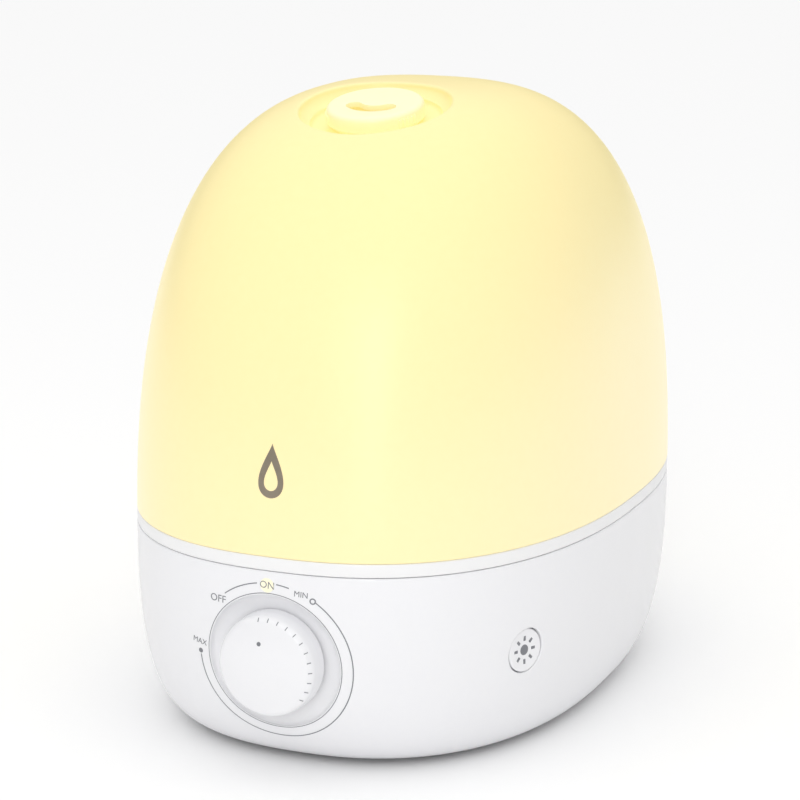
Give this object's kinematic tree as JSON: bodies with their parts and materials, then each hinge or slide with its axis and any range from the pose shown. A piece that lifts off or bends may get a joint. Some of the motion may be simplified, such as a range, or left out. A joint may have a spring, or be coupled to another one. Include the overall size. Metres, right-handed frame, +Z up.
{
  "type": "cool mist humidifier",
  "caption": "Egg-shaped ultrasonic humidifier: a lit translucent lift-off water tank with a swivel mist nozzle on a white base with a mist knob and a light button.",
  "frame": {"origin": "on the floor under the middle of the whole object's box", "axes": "+X to the right of the front, +Y to the back, +Z up; the knob faces -Y"},
  "size_m": [0.168, 0.246, 0.2146],
  "materials": {
    "white_abs": "satin",
    "tank_translucent": "satin, lit from inside",
    "trim_white": "satin",
    "basin_abs": "satin",
    "clear_plastic": "clear",
    "grey_rubber": "matt",
    "silicone": "matt",
    "steel": "bright",
    "aluminium": "satin",
    "circuit_board": "solder mask",
    "black_plastic": "satin",
    "piezo_ceramic": "silvered ceramic",
    "copper_winding": "enamelled"
  },
  "bodies": {
    "base": {"base_shell": "white_abs", "bottom_cover": "white_abs", "water_basin": "basin_abs", "fan_duct": "basin_abs", "float_retainer": "basin_abs", "light_lens": "clear_plastic", "rubber_foot_1": "grey_rubber", "rubber_foot_2": "grey_rubber", "rubber_foot_3": "grey_rubber", "rubber_foot_4": "grey_rubber", "transducer_seal": "silicone", "transducer_lead": "silicone", "light_lead": "silicone", "cover_screw_1": "steel", "cover_screw_2": "steel", "cover_screw_3": "steel", "cover_screw_4": "steel", "clamp_screw_1": "steel", "clamp_screw_2": "steel", "clamp_screw_3": "steel", "potentiometer": "steel", "potentiometer_nut": "steel", "transducer_clamp": "aluminium", "heatsink": "aluminium", "main_board": "circuit_board", "led_board": "circuit_board", "control_board": "circuit_board", "switch_board": "circuit_board", "fan_housing": "black_plastic", "capacitor": "black_plastic", "power_inlet": "black_plastic", "level_sensor": "black_plastic", "light_switch": "black_plastic", "inlet_lead": "black_plastic", "fan_lead": "black_plastic", "transducer_disc": "piezo_ceramic", "inductor": "copper_winding"},
    "tank": {"tank_shell": "tank_translucent", "tank_bottom": "trim_white", "mist_tube": "clear_plastic"},
    "cap": {"tank_cap": "trim_white", "cap_seal": "silicone", "valve_spring": "steel"},
    "valve": {"valve_plunger": "trim_white", "valve_seal": "silicone"},
    "baffle": {"splash_baffle": "clear_plastic"},
    "nozzle": {"mist_nozzle": "tank_translucent"},
    "knob": {"mist_knob": "white_abs", "knob_shaft": "aluminium"},
    "button": {"light_button": "white_abs", "switch_plunger": "black_plastic"},
    "fan": {"fan_rotor": "black_plastic"},
    "float": {"float": "silicone", "float_magnet": "steel"}
  },
  "joints": [
    {"name": "tank_lift", "type": "slide", "parent": "base", "child": "tank", "axis": [0, 0, 1], "range_m": [0, 0.25]},
    {"name": "cap_turn", "type": "hinge", "parent": "tank", "child": "cap", "pos_m": [0, 0.04525, 0.06], "axis": [0, 0, -1], "range_deg": [0, 360]},
    {"name": "valve_press", "type": "slide", "parent": "cap", "child": "valve", "axis": [0, 0, 1], "range_m": [0, 0.003], "stiffness_N_per_m": 150, "springref_m": -0.002, "deforming": ["valve_spring"]},
    {"name": "baffle_lift", "type": "slide", "parent": "tank", "child": "baffle", "axis": [0, -0.2198, 0.9755], "range_m": [0, 0.04]},
    {"name": "nozzle_swivel", "type": "hinge", "parent": "baffle", "child": "nozzle", "pos_m": [0, -0.03035, 0.20358], "axis": [0, -0.2198, 0.9755], "continuous": true},
    {"name": "knob_turn", "type": "hinge", "parent": "base", "child": "knob", "pos_m": [0, -0.105, 0.0393], "axis": [0, 1, 0], "range_deg": [0, 300]},
    {"name": "button_press", "type": "slide", "parent": "base", "child": "button", "axis": [-0.9116, 0.411, 0], "range_m": [0, 0.0012], "stiffness_N_per_m": 500, "springref_m": -0.0006},
    {"name": "fan_spin", "type": "hinge", "parent": "base", "child": "fan", "pos_m": [0, 0.06725, 0.0155], "axis": [0, 0, 1], "continuous": true},
    {"name": "float_rise", "type": "slide", "parent": "base", "child": "float", "axis": [0, 0, 1], "range_m": [0, 0.008]}
  ]
}
